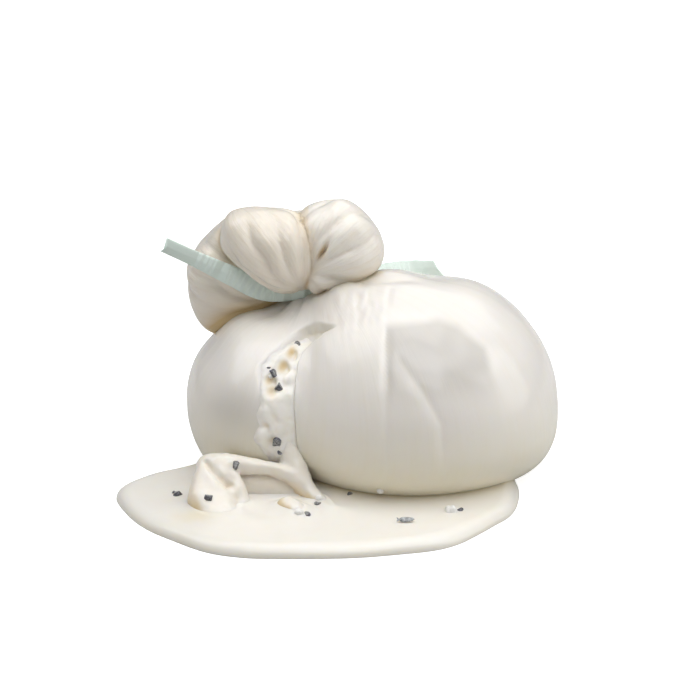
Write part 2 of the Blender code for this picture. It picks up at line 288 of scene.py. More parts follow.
# Swellings and dips of the skin beside the topknot: centre, size, height
SWELLS = (
    ((2.0, 4.5, 49.0), (10.0, 5.0, 6.0), 0.8),
    ((3.0, -3.2, 48.0), (7.0, 2.2, 5.0), -0.8),
    ((-9.5, -4.5, 46.0), (5.5, 6.0, 6.0), 2.8),
    ((-24.0, -3.0, 42.0), (5.5, 6.0, 6.0), -1.6),
    ((-2.0, -1.0, 47.0), (7.0, 6.0, 6.0), 0.8),
    ((16.0, 12.0, 46.5), (7.5, 15.0, 8.0), -2.2),
    ((-41.0, 0.0, 33.0), (8.0, 40.0, 7.0), -1.5),
    ((-44.0, 0.0, 9.0), (8.0, 30.0, 7.0), -0.7),
    ((40.0, 0.0, 5.0), (9.0, 30.0, 7.0), 1.4),
)


def edge_at(edge, height):
    """How far to the right one of the tear's edges is at each height."""
    z, x = np.array(edge[::-1]).T * MM
    return np.interp(height, z, x)


def tear_sides(points):
    """How far each point lies inside the tear's right and left edges, as seen from the front."""
    x, height = points[:, 0], points[:, 2]
    return edge_at(TEAR_RIGHT_EDGE, height) - x, x - edge_at(TEAR_LEFT_EDGE, height)


def skin_relief(points):
    """How far the skin stands out from its plain form: the tear, creases, crinkles and slow unevenness."""
    front = smooth_step(-points[:, 1], 4 * MM, 12 * MM)
    inside_right, inside_left = tear_sides(points)
    start, end = (np.interp(points[:, 2], TEAR_LEVELS, run) for run in (TEAR_SLOPE_START, TEAR_SLOPE_END))
    torn = smooth_step(inside_right, -0.25 * MM, 0.75 * MM)
    torn *= smooth_step((inside_left - start) / (end - start), 0, 1)
    torn *= front * smooth_step(41.4 * MM - points[:, 2], 0, 1.5 * MM)
    lip = hump(inside_right + 1.4 * MM, LIP_WIDTH) * front * (1 - torn)
    relief = LIP_HEIGHT * lip - TEAR_DEPTH * torn
    for line, width, depth in CREASES:
        signed, share = from_line(points, line)
        ends = smooth_step(share, 0, 0.15) * smooth_step(share, 1, 0.8)
        relief -= depth * MM * hump(signed, width * MM) * ends * front
    for line, run, height in STEPS:
        signed, share = from_line(points, line)
        fall = smooth_step(signed, -0.4 * MM, 0.9 * MM) * fading(signed, run * MM)
        ends = smooth_step(share, 0, 0.2) * smooth_step(share, 1, 0.75)
        relief += height * MM * fall * ends * front
    crinkled = bump_at(points, CRINKLES, CRINKLE_REACH)
    relief += CRINKLE_HEIGHT * ripple(points / CRINKLE_GRAIN, 1.0, 0.0) * crinkled
    for centre, size, height in SWELLS:
        relief += height * MM * bump_at(points, mm(*centre), mm(*size))
    from_neck = np.linalg.norm((points - NECK)[:, :2], axis=1)
    circle = around(points, NECK_AXIS, NECK)
    pleats = ripple(np.column_stack((circle * PLEATS, np.zeros(len(points)))), 1.0, 3.0)
    relief += PLEAT_HEIGHT * pleats * hump(from_neck, PLEAT_REACH)
    fine = ripple(np.column_stack((circle * FIBRES, points[:, 2] / FIBRE_LENGTH)), 1.0, 8.0)
    relief += FIBRE_HEIGHT * fine * smooth_step(from_neck, 6 * MM, 14 * MM) * (1 - torn)
    return relief + uneven(points, SKIN_WAVES)


def skin_form():
    """The pouch without its topknot, in rows and columns that crowd together at the tear."""
    axis = Vector(NECK - HEART)
    bm = ball(SKIN_COLUMNS, SKIN_ROWS, SKIN_FINER, axis)
    turn = np.array(turn_to(axis))
    local = places(bm) @ turn
    aim = (TEAR_MIDDLE - HEART) @ turn
    middle = math.atan2(aim[1], aim[0])
    angle = np.arctan2(local[:, 1], local[:, 0])
    angle = angle - CROWDING * np.sin(angle - middle)
    reach = np.hypot(local[:, 0], local[:, 1])
    local = np.column_stack((reach * np.cos(angle), reach * np.sin(angle), local[:, 2]))
    directions = unit(local @ turn.T)
    plain = cast(HEART, directions, outside_pouch)
    move_to(bm, plain + directions * skin_relief(plain)[:, None])
    flat_bottom(bm)
    return bm


# --- finishing a piece ---


def neighbours_mean(values, ends, count):
    total = np.zeros_like(values)
    for axis in range(values.shape[1]):
        total[:, axis] = np.bincount(ends[:, 0], values[ends[:, 1], axis], len(values))
        total[:, axis] += np.bincount(ends[:, 1], values[ends[:, 0], axis], len(values))
    return total / count[:, None]


def note(mesh, name, values):
    """Stores one number or a row of three for each point, which the finishes read."""
    kind, field = ("FLOAT", "value") if values.ndim == 1 else ("FLOAT_VECTOR", "vector")
    mesh.attributes.new(name, kind, "POINT").data.foreach_set(field, values.ravel())


def note_hollows(mesh, rounds, full, given_shade):
    """Stores how much painted shade each point gets, in a warm yellow tint, from 0 to 1.

    That is how deep it lies below the level around it, as a share of `full`, or else the painted shade that
    is given, if that is more.
    """
    points = mesh_points(mesh)
    ends = rows_of(mesh.edges, "vertices", 2, np.int32)
    count = np.maximum(np.bincount(ends.ravel(), minlength=len(points)), 1)
    level = points
    for _ in range(rounds):
        level = neighbours_mean(level, ends, count)
    depth = ((level - points) * mesh_normals(mesh)).sum(axis=1) / full
    for _ in range(2):
        depth = neighbours_mean(depth[:, None], ends, count)[:, 0]
    note(mesh, "hollow", np.clip(np.maximum(depth, given_shade), 0, 1))


def rows_of(items, field, size, kind=float):
    """One row of numbers for each of a mesh's points or edges."""
    rows = np.empty(len(items) * size, dtype=kind)
    items.foreach_get(field, rows)
    return rows.reshape(-1, size)


def mesh_points(mesh):
    return rows_of(mesh.vertices, "co", 3)


def mesh_normals(mesh):
    return rows_of(mesh.vertex_normals, "vector", 3)


def stand(name, bm):
    """Puts a form into the scene as an object."""
    mesh = bpy.data.meshes.new(name)
    bm.to_mesh(mesh)
    bm.free()
    thing = bpy.data.objects.new(name, mesh)
    bpy.context.scene.collection.objects.link(thing)
    return thing


def finish_piece(name, bm, finishes, stands_for=()):
    """Makes a closed form a piece of the burrata, with its finishes, on the burrata's only body."""
    bmesh.ops.recalc_face_normals(bm, faces=bm.faces)
    piece = stand(name, bm)
    for finish in finishes:
        piece.data.materials.append(finish)
    piece.data.shade_smooth()
    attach(piece, "root")
    if stands_for:
        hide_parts(*stands_for)
    return piece


def soften(bm, factor):
    axes = {"use_axis_x": True, "use_axis_y": True, "use_axis_z": True}
    bmesh.ops.smooth_vert(bm, verts=bm.verts, factor=factor, **axes)


def run_together(bm, grain, rounds):
    """Fuses overlapping closed forms into one skin of small faces, and softens it."""
    rough = stand("rough", bm)
    fuse = rough.modifiers.new("fuse", "REMESH")
    fuse.mode = "VOXEL"
    fuse.voxel_size = grain
    ready = rough.evaluated_get(bpy.context.evaluated_depsgraph_get())
    fused = bmesh.new()
    fused.from_mesh(ready.data)
    mesh = rough.data
    bpy.data.objects.remove(rough)
    bpy.data.meshes.remove(mesh)
    for _ in range(rounds):
        soften(fused, 0.5)
    return fused


# --- the topknot: folds that fan out from the neck, each with pleats that run from where it is gathered ---

FOLD_BLEND = 2.5 * MM
KNOT_GRAIN = 0.42 * MM
KNOT_WAVES = ((3, 0.10, 1.0),)
FOLD_COLUMNS, FOLD_ROWS, FOLD_FINER = 66, 34, 3
SLIT = mm(-12.7, -5.4, 55.9)  # the small dark opening between the two front folds
SLIT_SIZE = mm(0.75, 4.0, 2.2)
SLIT_SLANT = 0.5
SLIT_DEPTH = 2.6 * MM


class Fold:
    """One fold of the topknot: lobes run together, cut flat by planes, and pleated from its gathered end."""

    def __init__(self, lobes, flats, gather, pleats, depth, turn):
        self.lobes = [Lobe(*lobe) for lobe in lobes]
        self.flats = [(mm(*point), np.array(Vector(way).normalized())) for point, way in flats]
        self.gather = Vector(gather).normalized()
        self.pleats, self.depth, self.turn = pleats, depth, turn

    def outside(self, points):
        nearest = self.lobes[0].outside(points)
        for lobe in self.lobes[1:]:
            nearest = blended(nearest, lobe.outside(points), FOLD_BLEND)
        for point, way in self.flats:
            nearest = -blended(-nearest, -((points - point) @ way), FOLD_BLEND)
        return nearest

    def around(self, points):
        """Each point's direction round the gathered end, and its angle from there."""
        directions = unit(points - self.lobes[0].centre)
        circle = around(directions, self.gather, np.zeros(3))
        return circle, np.arccos(np.clip(directions @ np.array(self.gather), -1, 1))

    def form(self):
        bm = ball(FOLD_COLUMNS, FOLD_ROWS, FOLD_FINER, self.gather)
        directions = places(bm)
        middle = self.lobes[0].centre
        surface = cast(middle, directions, self.outside)
        circle, from_gather = self.around(surface)
        angle = np.arctan2(circle[:, 1], circle[:, 0])
        sway = 0.30 * ripple(directions, 0.9, self.pleats) + 0.2 * from_gather
        wave = np.abs(np.sin((angle + sway) * self.pleats / 2 + self.turn)) ** 0.7
        strength = np.sin(np.clip(from_gather, 0, math.pi)) ** 0.5
        strength *= 1 - smooth_step(from_gather, 1.6, 2.6)
        varied = 0.8 + 0.5 * ripple(directions, 0.7, 4.0)
        share = 1 + self.depth * (wave - 0.75) * strength * varied
        move_to(bm, middle + (surface - middle) * share[:, None])
        return bm


# Each fold: its lobes, its flats (a point and the way out), its gathered end, pleats, their depth and turn
KNOT_FOLDS = (
    Fold(
        (((-33, 11, 46), 13.8, 11.5, 15.5, 15.0, 2.3), ((-37.5, 9, 38), 7.0, 7, 7, 7.4)),
        (((-43.5, 8, 53.5), (-0.62, 0.0, 0.62)),),
        (0.57, -0.79, -0.22), 11, 0.12, 0.3,
    ),
    Fold(
        (
            ((-25.5, 1.5, 55.0), 11.5, 11, 10.0, 10.5, 2.3),
            ((-31.5, 2.0, 58.5), 6.0, 7.5, 6.2, 6.0, 2.6),
            ((-20.5, 0.5, 50.5), 6.5, 7.0, 6.0),
        ),
        (((-31.5, -0.5, 49.5), (-0.60, -0.25, -0.70)),),
        (0.62, -0.56, -0.66), 10, 0.15, 0.0,
    ),
    Fold(
        (
            ((-8.5, 5, 54.0), 11.2, 11.5, 12.6, 10.4, 2.1),
            ((-14.5, 3.5, 58.0), 5.0, 8.0, 7.0, 7.0),
            ((-13.8, 0.2, 48.4), 4.3, 6.0, 4.2),
        ),
        (((-0.6, 5.0, 61.6), (0.72, 0.0, 0.69)),),
        (-0.58, -0.75, -0.30), 8, 0.13, 0.2,
    ),
    Fold((((-17, 15, 50), 13, 9.5, 11, 9, 2.2),), (), (0.1, -0.5, -0.85), 10, 0.10, 0.0),
)

NECK_HALF = 9 * MM  # half the neck's height
NECK_FLARE, NECK_TWIST, NECK_FLUTES = 1.6, 0.5, 9


def neck_form():
    """The twisted neck that joins the topknot to the pouch, flared at both ends."""
    bm = bmesh.new()
    bmesh.ops.create_uvsphere(bm, u_segments=96, v_segments=60, radius=1)
    for vert in bm.verts:
        height = vert.co.z
        radius = (NECK_RADIUS - 0.4 * MM) * (1 + NECK_FLARE * abs(height) ** 3)
        angle = math.atan2(vert.co.y, vert.co.x) + NECK_TWIST * height
        flute = 1 + 0.06 * math.cos(NECK_FLUTES * angle)
        level = math.sqrt(max(1 - height**8, 0))
        reach = radius * flute * level
        vert.co = (reach * math.cos(angle), reach * math.sin(angle), height * NECK_HALF)
    stand_on(bm, NECK, NECK_AXIS)
    return bm


def joined(forms):
    """Several forms in one mesh, not yet fused."""
    together = bmesh.new()
    for form in forms:
        mesh = bpy.data.meshes.new("form")
        form.to_mesh(mesh)
        form.free()
        together.from_mesh(mesh)
        bpy.data.meshes.remove(mesh)
    return together


def topknot_form():
    forms = [fold.form() for fold in KNOT_FOLDS] + [neck_form()]
    bm = run_together(joined(forms), KNOT_GRAIN, 2)
    points = places(bm)
    normals = normals_of(bm)
    raised = uneven(points, KNOT_WAVES) - SLIT_DEPTH * slit_at(points)
    move_to(bm, points + normals * raised[:, None])
    return bm


def slit_at(points):
    """1 in the middle of the slanted slit, falling to nothing around it."""
    upright = points - np.outer((points - SLIT)[:, 2], (SLIT_SLANT, 0, 0))
    return bump_at(upright, SLIT, SLIT_SIZE)


def outside_topknot(points):
    return np.min([fold.outside(points) for fold in KNOT_FOLDS], axis=0)


def knot_painted_shade(points, _):
    """How much painted shade the topknot gets, in a warm yellow-brown: most where its folds meet each other
    or press on the pouch, in its slit, and a little over its left side.
    """
    from_folds = np.sort([np.abs(fold.outside(points)) for fold in KNOT_FOLDS], axis=0)
    cleft = 0.6 * fading(from_folds[1], 0.9 * MM)
    crevice = fading(outside_pouch(points), 2.2 * MM)
    slit = 0.9 * slit_at(points)
    shaded = 0.14 * (points[:, 0] < -16 * MM)
    return np.minimum(np.maximum(np.maximum(cleft, slit), crevice) + shaded, 1)


def skin_painted_shade(points, normals):
    """How much painted shade the pouch gets, in a warm tint: more low down and where it faces down, and most
    at the topknot and pool.
    """
    crevice = 0.55 * fading(outside_topknot(points), 1.1 * MM)
    seam = fading(points[:, 2] - POOL_TOP, 2.6 * MM)
    low = 0.40 * smooth_step(-points[:, 2], -26 * MM, -6 * MM)
    upright = 0.15 * smooth_step(-normals[:, 2], -0.7, 0.2)
    return np.maximum(np.maximum(crevice, seam), low + upright)


# A duller, darker patch on the large lobe, a painted reflection of a dark part of the room: its left side,
# and its upper edge as seen from the front: (x, z)
PAINTED_DULL_LEFT = 2.7 * MM
PAINTED_DULL_EDGE = (
    (2.0, 43.2), (9.0, 44.0), (15.4, 44.3), (20.4, 42.8), (27.1, 38.2), (29.3, 31.8), (32.0, 25.4),
    (32.5, 19.0),
)


def painted_dull_patch(points):
    """How much of the darker painted colour the pouch's skin gets: painted reflection most just inside the
    patch's upper edge, and painted shade on the left lobe's front.
    """
    signed, _ = from_line(points, PAINTED_DULL_EDGE)
    inside = smooth_step(-signed, -0.4 * MM, 2.0 * MM)
    inside *= smooth_step(points[:, 0], PAINTED_DULL_LEFT - 0.3 * MM, PAINTED_DULL_LEFT + 0.5 * MM)
    # painted reflection, stronger higher up; the left lobe's front gets painted shade
    higher_up = 1.15 * smooth_step(points[:, 2], 25 * MM, 37 * MM)
    left_lobe = 0.85 * bump_at(points, mm(-33.5, -27.0, 23.5), mm(8.5, 14.0, 7.0))
    return inside * higher_up * smooth_step(-points[:, 1], 8 * MM, 14 * MM) + left_lobe


def tear_margin(points):
    """How far each point of the curd in the tear still looks like the skin that it runs into on its left."""
    _, inside_left = tear_sides(points)
    wander = 1.0 * MM * ripple(points, 3.0 * MM, 12.0)
    return 1 - smooth_step(inside_left + wander, -1.0 * MM, 2.6 * MM)


def every(grain):
    """Fibres that run no special way, of one grain all over."""
    return lambda points: points / grain


def skin_pull(points):
    """Where each point of the pouch lies across the fibres that run down from its neck."""
    return np.column_stack((around(points, NECK_AXIS, NECK) * 26, points[:, 2] / (26 * MM)))


def knot_pull(points):
    """Where each point of the topknot lies across the fibres of the fold it belongs to."""
    nearest = np.argmin([np.abs(fold.outside(points)) for fold in KNOT_FOLDS], axis=0)
    rows = np.zeros_like(points)
    for k, fold in enumerate(KNOT_FOLDS):
        mine = nearest == k
        circle, from_gather = fold.around(points[mine])
        rows[mine] = np.column_stack((circle * 9, 0.8 * from_gather + 7.0 * k))
    return rows


# --- the curd that shows in the tear ---

TEAR_CURD_ACROSS, TEAR_CURD_DOWN = 96, 270
TEAR_CURD_FOOT, TEAR_CURD_TOP = 2.5 * MM, 41.0 * MM
TEAR_CURD_THICKNESS = 1.5 * MM
TEAR_CURD_WAVES = ((2.6, 0.32, 6.0), (1.2, 0.12, 9.0))
TEAR_CURD_SUNK = 2.4 * MM  # how deep its right and upper edges lie under the skin
# Lumps, and below them the pockets between them, as seen from the front: (x, z, radius, height)
TEAR_LUMPS = (
    (-17.6, 36.7, 1.8, 0.5), (-20.6, 35.9, 1.8, 1.1), (-23.6, 34.4, 2.0, 1.1), (-26.0, 31.8, 1.8, 0.7),
    (-26.2, 28.0, 1.8, 0.5), (-20.8, 30.2, 1.1, 0.8), (-20.6, 26.6, 1.9, 0.7), (-24.3, 25.0, 2.4, 1.0),
    (-25.2, 21.4, 1.1, 0.6), (-26.6, 23.2, 1.5, 0.5), (-22.0, 22.6, 1.7, 0.6), (-26.9, 17.4, 1.6, 0.9),
    (-23.4, 18.9, 1.6, 0.5), (-20.4, 19.6, 1.5, 0.4), (-21.4, 15.2, 2.4, 1.1), (-20.4, 11.8, 2.6, 1.6),
    (-19.4, 8.4, 2.6, 2.0), (-19.9, 34.4, 1.0, -1.6), (-21.9, 32.1, 1.2, -1.6), (-25.0, 29.7, 1.1, -1.2),
    (-24.6, 27.6, 1.1, -1.0), (-25.9, 20.0, 0.8, -0.4), (-24.6, 16.2, 1.0, -0.6),
)


def lump_at(points, x, z, radius):
    """1 in the middle of a lump or pocket seen from the front, falling to nothing around it."""
    apart = np.hypot(points[:, 0] - x * MM, points[:, 2] - z * MM) / (radius * MM)
    return np.exp(-(apart**2.5))


def tear_curd_form():
    """A thick patch of lumpy curd that fills the tear and runs out of its foot."""
    bm = bmesh.new()
    bmesh.ops.create_grid(bm, x_segments=TEAR_CURD_ACROSS, y_segments=TEAR_CURD_DOWN, size=1)
    grid = places(bm)
    height = np.interp(grid[:, 1], (-1, 1), (TEAR_CURD_FOOT, TEAR_CURD_TOP))
    right = edge_at(TEAR_RIGHT_EDGE, height) + 0.9 * MM
    left = edge_at(TEAR_LEFT_EDGE, height) - np.interp(height, mm(30, 37), mm(4.5, 1.8))
    across = (grid[:, 0] + 1) / 2
    seen = np.column_stack((left + (right - left) * across, np.zeros(len(grid)), height))
    forwards = np.tile((0.0, -1.0, 0.0), (len(grid), 1))
    plain = cast(seen, forwards, outside_pouch)
    outwards = unit(plain - HEART)
    raised = -0.1 * MM - 0.5 * MM * smooth_step(height, 25 * MM, 30 * MM)
    raised -= 1.7 * MM * smooth_step(height, 34 * MM, 37.5 * MM)
    for x, z, radius, lump in TEAR_LUMPS:
        raised += lump * MM * lump_at(seen, x, z, radius)
    raised += uneven(plain, TEAR_CURD_WAVES)
    inside_right, _ = tear_sides(plain)
    edge = smooth_step(inside_right, -1.4 * MM, 0.5 * MM)
    edge *= smooth_step(TEAR_CURD_TOP - height, 0, 2 * MM)
    level = (raised + TEAR_CURD_SUNK) * edge - TEAR_CURD_SUNK
    spill = smooth_step(across, 0.0, 0.5)
    level = (skin_relief(plain) - 0.12 * MM) * (1 - spill) + level * spill
    move_to(bm, plain + outwards * level[:, None])
    bmesh.ops.recalc_face_normals(bm, faces=bm.faces)
    bmesh.ops.solidify(bm, geom=bm.faces[:], thickness=TEAR_CURD_THICKNESS)
    return bm


def pocket_painted_shade(points, _):
    """How much painted shade the curd in the tear gets, in a warm tint, in the pockets between its lumps."""
    tone_and_shade_tint = np.zeros(len(points))
    for x, z, radius, lump in TEAR_LUMPS:
        if lump < 0:
            tone_and_shade_tint = np.maximum(tone_and_shade_tint, -0.6 * lump * lump_at(points, x, z, radius))
    return tone_and_shade_tint


# --- the curd that has slid out of the tear onto the cream: a drape with two folds and a hollow ---

# Strands of curd: how far each runs into the others, then (x, y, z, radius) along it
CURD_STRANDS = (
    # the wall under the ridge
    (2.5, (-36, -28.0, 5.2, 4.5), (-30, -29.4, 4.6, 4.5), (-24, -30.6, 4.0, 4.2), (-19, -31.8, 2.6, 3.0)),
    # the broad leg
    (
        3.0, (-39.8, -31.6, 9.7, 2.7), (-40.4, -35.0, 7.6, 3.1), (-41.0, -39.5, 4.2, 3.4),
        (-39.3, -43.5, 1.4, 3.5), (-37.0, -48.0, -0.9, 3.7),
    ),
    (
        3.0, (-37.5, -32.0, 9.6, 2.6), (-37.0, -36.5, 6.0, 3.2), (-35.6, -41.5, 2.0, 3.5),
        (-33.0, -46.5, -0.6, 3.7), (-30.5, -50.0, -1.6, 3.8),
    ),
    # the steep leg beside the hollow
    (
        1.6, (-36.0, -32.2, 10.6, 2.4), (-34.6, -34.2, 8.6, 2.2), (-33.0, -36.0, 6.0, 2.2),
        (-31.8, -37.6, 3.4, 2.2), (-31.0, -40.0, 0.9, 2.4),
    ),
    # the ridge, which thins towards its right end
    (
        1.2, (-40.2, -30.5, 9.9, 2.5), (-35.5, -31.5, 10.7, 2.5), (-31.0, -32.2, 10.6, 2.1),
        (-27.5, -32.6, 10.4, 1.8), (-23.7, -32.8, 9.8, 1.7), (-20.8, -33.1, 8.7, 1.7),
        (-18.0, -33.6, 6.9, 1.7), (-16.0, -34.6, 5.3, 1.6), (-13.6, -36.2, 3.6, 1.5),
        (-11.6, -38.6, 2.5, 1.3), (-9.9, -41.8, 1.8, 1.1),
    ),
    # what runs down out of the tear
    (
        1.5, (-21.3, -29.0, 14.5, 2.4), (-20.3, -29.8, 12.0, 2.8), (-19.0, -31.0, 9.3, 2.9),
        (-17.3, -32.4, 6.6, 2.5), (-15.2, -34.3, 4.2, 2.0), (-13.0, -36.8, 2.4, 1.6),
    ),
    # a low lump in the cream
    (1.2, (-20.6, -40.4, 2.6, 2.8), (-18.6, -42.4, 2.4, 2.7)),
)
APRON = Lobe((-28, -38, 0.2), 17, 11, 2.3, 3)
APRON_BLEND = 3.0 * MM
CURD_GRAIN = 0.40 * MM
CURD_WAVES = ((4.5, 0.34, 3.0), (1.6, 0.12, 7.0))
BEAD_STEP = 1.2 * MM  # between the beads that a strand is roughed out with
# A short furrow down the broad leg, as seen by the camera: (to the right, up)
GROOVE = ((-40.4, -26.8), (-37.6, -29.6), (-34.4, -32.2))
GROOVE_WIDTH, GROOVE_DEPTH = 0.75 * MM, 1.1 * MM


def from_segment(points, start, end):
    """How far each point lies from a straight line between two points, and how far along it."""
    first = mm(*start)
    along = mm(*end) - first
    share = np.clip((points - first) @ along / (along @ along), 0, 1)
    return np.linalg.norm(points - first - share[:, None] * along, axis=1), share


def outside_strands(points):
    """How far each point lies outside the strands of curd, with the strands run into each other."""
    nearest = np.full(len(points), RAY_REACH)
    for blend, *strand in CURD_STRANDS:
        single = np.full(len(points), RAY_REACH)
        for (*start, thick), (*end, end_thick) in zip(strand, strand[1:]):
            distance, share = from_segment(points, start, end)
            single = np.minimum(single, distance - (thick + (end_thick - thick) * share) * MM)
        nearest = blended(nearest, single, blend * MM)
    return nearest


def outside_fallen_curd(points):
    return blended(outside_strands(points), APRON.outside(points), APRON_BLEND)


def rough_strands():
    """The strands as rows of overlapping beads, and the apron as a flat ball."""
    beads = []
    for _, *strand in CURD_STRANDS:
        for (*start, thick), (*end, end_thick) in zip(strand, strand[1:]):
            start, end = Vector(start) * MM, Vector(end) * MM
            steps = max(int((end - start).length / BEAD_STEP), 1)
            for k in range(steps + 1):
                bead = bmesh.new()
                radius = (thick + (end_thick - thick) * k / steps) * MM
                place = Matrix.Translation(start.lerp(end, k / steps))
                bmesh.ops.create_icosphere(bead, subdivisions=2, radius=radius, matrix=place)
                beads.append(bead)
    apron = ball(48, 24, 1, (0, 0, 1))
    directions = places(apron)
    move_to(apron, cast(APRON.centre, directions, APRON.outside))
    return joined([*beads, apron])


def fallen_curd_form():
    """The strands fused into one lumpy drape, drawn onto their smooth common surface."""
    bm = run_together(rough_strands(), CURD_GRAIN, 1)
    for _ in range(4):
        bm.normal_update()
        points = places(bm)
        normals = normals_of(bm)
        move_to(bm, points - normals * 0.8 * outside_fallen_curd(points)[:, None])
        soften(bm, 0.3)
    points = places(bm)
    normals = normals_of(bm)
    raised = uneven(points, CURD_WAVES) * smooth_step(points[:, 2], 2.6 * MM, 5.0 * MM)
    up = (points - np.array(VIEW_AIM)) @ (0, math.sin(VIEW_HEIGHT), math.cos(VIEW_HEIGHT))
    from_groove, _ = from_line(np.column_stack((points[:, 0], up, up)), GROOVE)
    near_side = smooth_step(-points[:, 1], 31.5 * MM, 33.5 * MM)
    raised -= GROOVE_DEPTH * hump(from_groove, GROOVE_WIDTH) * near_side
    move_to(bm, points + normals * raised[:, None])
    flat_bottom(bm)
    return bm


def fallen_curd_painted_shade(points, normals):
    """How much painted shade the fallen curd gets: in the hollow under its ridge, and a painted shadow at its
    foot on the left.
    """
    hollow = 0.35 * bump_at(points, mm(-24.0, -31.5, 5.6), mm(6.5, 3.0, 2.6))
    foot = fading(points[:, 2] - POOL_TOP - 1.0 * MM, 2.2 * MM)
    return np.maximum(hollow, foot * smooth_step(-normals[:, 0], 0.1, 0.6))


# --- the pool of cream ---

# The pool's outline, anticlockwise from its left tip: (x, y)
POOL_OUTLINE = (
    (-62.6, -25.6), (-59.3, -37.3), (-53.8, -47.0), (-46.6, -54.6), (-39.2, -61.0), (-32, -64.0),
    (-23.6, -65), (-6, -64.6), (5.7, -62.4), (14, -60.0), (19.4, -56.4), (23.8, -51.2), (28.2, -45.2),
    (32.4, -39.0), (34.8, -31), (35.5, -20), (32, -7), (18, 0), (-10, 4), (-34, 1), (-43.5, -8),
    (-50.6, -11.8), (-57.4, -16.6),
)
POOL_MIDDLE = mm(-12.0, -30.0)
POOL_COLUMNS, POOL_ROWS, POOL_FINER = 105, 50, 4
POOL_EDGE = 3.9 * MM
POOL_WAVES = ((19, 0.22, 2.0), (7, 0.07, 4.0))


def outline_reach(angles):
    """How far the pool's outline lies from its middle in each direction."""
    corners = np.array(POOL_OUTLINE, float) * MM
    a, b, c, d = (np.roll(corners, shift, axis=0) for shift in (1, 0, -1, -2))
    t = np.linspace(0, 1, 24, endpoint=False)[:, None, None]
    line = curve_at(a, b, c, d, t).transpose(1, 0, 2).reshape(-1, 2) - POOL_MIDDLE
    turns = np.arctan2(line[:, 1], line[:, 0])
    order = np.argsort(turns)
    return np.interp(angles, turns[order], np.hypot(*line.T)[order], period=2 * math.pi)


def pool_form():
    """A ball pressed flat into the pool's outline, with a thick round edge and a rise where curd stands."""
    bm = ball(POOL_COLUMNS, POOL_ROWS, POOL_FINER, (0, 0, 1))
    rows = places(bm)
    spread = np.hypot(rows[:, 0], rows[:, 1])
    angles = np.arctan2(rows[:, 1], rows[:, 0])
    reach = outline_reach(angles)
    flat = POOL_MIDDLE + (spread * reach)[:, None] * np.column_stack((np.cos(angles), np.sin(angles)))
    run = POOL_EDGE * (1 + 0.30 * ripple(np.column_stack((flat, np.zeros(len(flat)))), 21 * MM, 6.0))
    inwards = np.clip((1 - spread) * reach / run, 0, 1)
    bulge = np.sqrt(1 - (1 - inwards) ** 2)
    points = np.column_stack((flat, POOL_TOP * bulge))
    climb = 2.4 * MM * fading(outside_pouch(points), 2.3 * MM)
    climb += 1.3 * MM * fading(outside_strands(points), 2.8 * MM)
    points[:, 2] += (uneven(points, POOL_WAVES) + climb) * smooth_step(inwards, 0.2, 1)
    points[rows[:, 2] < -1e-6, 2] = 0.0
    move_to(bm, points)
    return bm


def cream_painted_shade(points, _):
    """How much painted shade the cream gets: at the pouch, along the lower part of its rim, and a painted
    shadow under the broad leg.
    """
    seam = 0.8 * fading(outside_pouch(points), 1.8 * MM)
    rim = 0.3 * smooth_step(-points[:, 2], -2.2 * MM, 0)
    at_foot = 0.5 * bump_at(points, mm(-41.0, -47.0, 3.4), mm(5.0, 3.6, 3.0))
    return np.maximum(np.maximum(seam, rim), at_foot)


# --- the strip that ties the neck ---

STRIP_WIDTH, STRIP_THICKNESS = 3.8 * MM, 1.2 * MM
STRIP_GAP = 0.3 * MM
STRIP_CRINKLE, STRIP_CRINKLE_HEIGHT = 2.6 * MM, 0.28 * MM
# The strip's two tails, from the neck outwards: ((x, y, z), direction of the strip's width)
LEFT_TAIL = (
    ((-26.0, -1.8, 45.0), (0.32, 0.00, 0.95)),
    ((-34.6, -2.8, 49.2), (0.38, 0.14, 0.91)),
    ((-43.3, -2.8, 53.4), (0.38, 0.16, 0.91)),
    ((-51.6, -2.2, 57.2), (0.28, 0.10, 0.95)),
)
RIGHT_TAIL = (
    ((-7.6, 9.2, 40.1), (0.10, 0.00, 0.99)),
    ((-3.0, 17.5, 42.2), (-0.25, 0.40, 0.88)),
    ((3.2, 24.0, 42.8), (-0.25, 0.66, 0.70)),
    ((10.0, 26.6, 42.6), (-0.18, 0.62, 0.76)),
    ((17.6, 27.6, 42.2), (-0.30, 0.50, 0.81)),
)
WIND_FROM, WIND_TO = math.radians(-78), math.radians(332)  # round the neck, from +X towards +Y
WIND_TURNS = (WIND_TO - WIND_FROM) / (2 * math.pi)
WIND_DROP = (STRIP_WIDTH + 3 * STRIP_GAP) * WIND_TURNS
WIND_STEPS, TAIL_STEPS = 110, 22
WIND_STRIDE = 5  # how many steps into the winding the curves of the tails are steered from
NOTCH, SLANT = 1.0 * MM, 1.6 * MM  # the V-shaped cut in each end, and the slant of the right one
# The folded strip's cross-section, in halves of its width and thickness
STRIP_SECTION = (
    (-1.0, -0.15), (-0.78, -0.50), (-0.45, -0.55), (-0.08, -1.00), (0.08, -0.95), (0.45, -0.62),
    (0.80, -0.48), (1.0, -0.15), (1.0, 0.15), (0.75, 0.50), (0.40, 0.60), (0.08, 1.00), (-0.08, 0.95),
    (-0.50, 0.60), (-0.80, 0.50), (-1.0, 0.15),
)


def smooth_row(points, steps):
    """A smooth curve through rows of numbers."""
    rows = [np.array(p, float) for p in points]
    rows = [2 * rows[0] - rows[1]] + rows + [2 * rows[-1] - rows[-2]]
    made = []
    for four in zip(rows, rows[1:], rows[2:], rows[3:]):
        made += [curve_at(*four, t) for t in np.arange(steps) / steps]
    return made + [rows[-2]]


